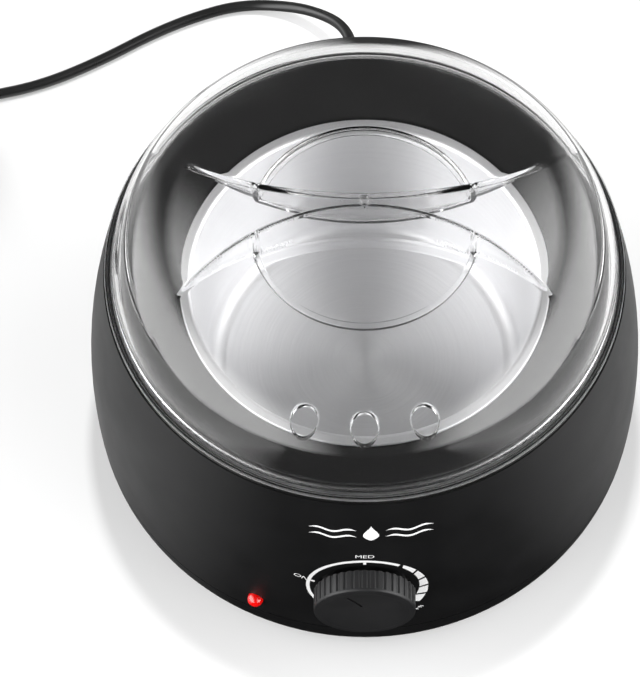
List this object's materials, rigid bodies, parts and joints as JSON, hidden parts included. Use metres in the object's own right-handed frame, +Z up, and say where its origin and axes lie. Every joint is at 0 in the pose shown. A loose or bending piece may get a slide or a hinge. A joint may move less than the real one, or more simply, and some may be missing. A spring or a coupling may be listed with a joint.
{
  "type": "wax warmer pot",
  "caption": "Round electric salon wax warmer with a dished collar, a lift-out metal pot, a clear domed lid with a grip bar, a front dial, a lamp and a mains cord.",
  "frame": {"origin": "on the table, under the middle of the outline seen from above, knob included; the round body's own axis stands 3.75 mm towards +Y of it", "axes": "+Z up; -Y is the front, where the dial is; +Y is the back, where the cord leaves; +X is the right-hand side seen from the front"},
  "size_m": [0.293, 0.2589, 0.1421],
  "materials": {
    "casing_black": "fine satin moulding",
    "gloss_black": "polished",
    "soft_black": "matte rubber",
    "screw_steel": "zinc plated",
    "well_aluminium": "spun",
    "red_silicone": "matte silicone",
    "heater_steel": "heat-tinted sheet",
    "glass_wool": "felted fibre",
    "shield_steel": "pressed sheet",
    "fuse_case": "drawn can",
    "knob_black": "satin moulding",
    "ceramic_white": "moulded insulator",
    "red_lens": "clear red",
    "lamp_glass": "clear glass",
    "terminal_brass": "turned",
    "lead_brown": "silicone insulation",
    "lead_blue": "silicone insulation",
    "cord_black": "smooth glossy jacket",
    "tie_black": "soft strap",
    "blade_nickel": "nickel plated",
    "pot_aluminium": "spun and brushed",
    "clear_plastic": "clear polished moulding"
  },
  "bodies": {
    "casing": {"upper_housing": "casing_black", "collar_ring": "gloss_black", "bottom_cover": "casing_black", "foot_back_right": "soft_black", "foot_back_left": "soft_black", "foot_front_left": "soft_black", "foot_front_right": "soft_black", "cover_screws": "screw_steel", "collar_screws": "screw_steel", "heater_well": "well_aluminium", "well_screws": "screw_steel", "well_gasket": "red_silicone", "band_heater": "heater_steel", "band_clamp": "screw_steel", "clamp_screw": "screw_steel", "insulation_sleeve": "glass_wool", "heat_shield": "shield_steel", "shield_screws": "screw_steel", "thermal_fuse": "fuse_case", "fuse_clip": "screw_steel", "thermostat_body": "ceramic_white", "thermostat_bracket": "shield_steel", "thermostat_screws": "screw_steel", "indicator_lens": "red_lens", "indicator_lamp": "lamp_glass", "lamp_holder": "soft_black", "terminal_block": "ceramic_white", "terminal_screws": "terminal_brass", "supply_lead": "lead_brown", "heater_lead": "lead_brown", "neutral_lead": "lead_blue", "mains_conductors": "lead_blue", "strain_relief": "soft_black", "power_cord": "cord_black", "cord_coil": "cord_black", "cord_tie": "tie_black", "cord_tail": "cord_black", "plug_body": "cord_black", "plug_blades": "blade_nickel"},
    "dial": {"knob": "knob_black", "thermostat_shaft": "screw_steel"},
    "pot": {"wax_pot": "pot_aluminium"},
    "cover": {"lid": "clear_plastic"}
  },
  "joints": [
    {"name": "dial_turn", "type": "hinge", "parent": "casing", "child": "dial", "pos_m": [0, -0.0935, 0.049], "axis": [0, 1, 0], "range_deg": [-105, 165]},
    {"name": "pot_lift", "type": "slide", "parent": "casing", "child": "pot", "axis": [0, 0, 1], "range_m": [0, 0.11]},
    {"name": "lid_lift", "type": "slide", "parent": "pot", "child": "cover", "axis": [0, 0, 1], "range_m": [0, 0.07]}
  ]
}
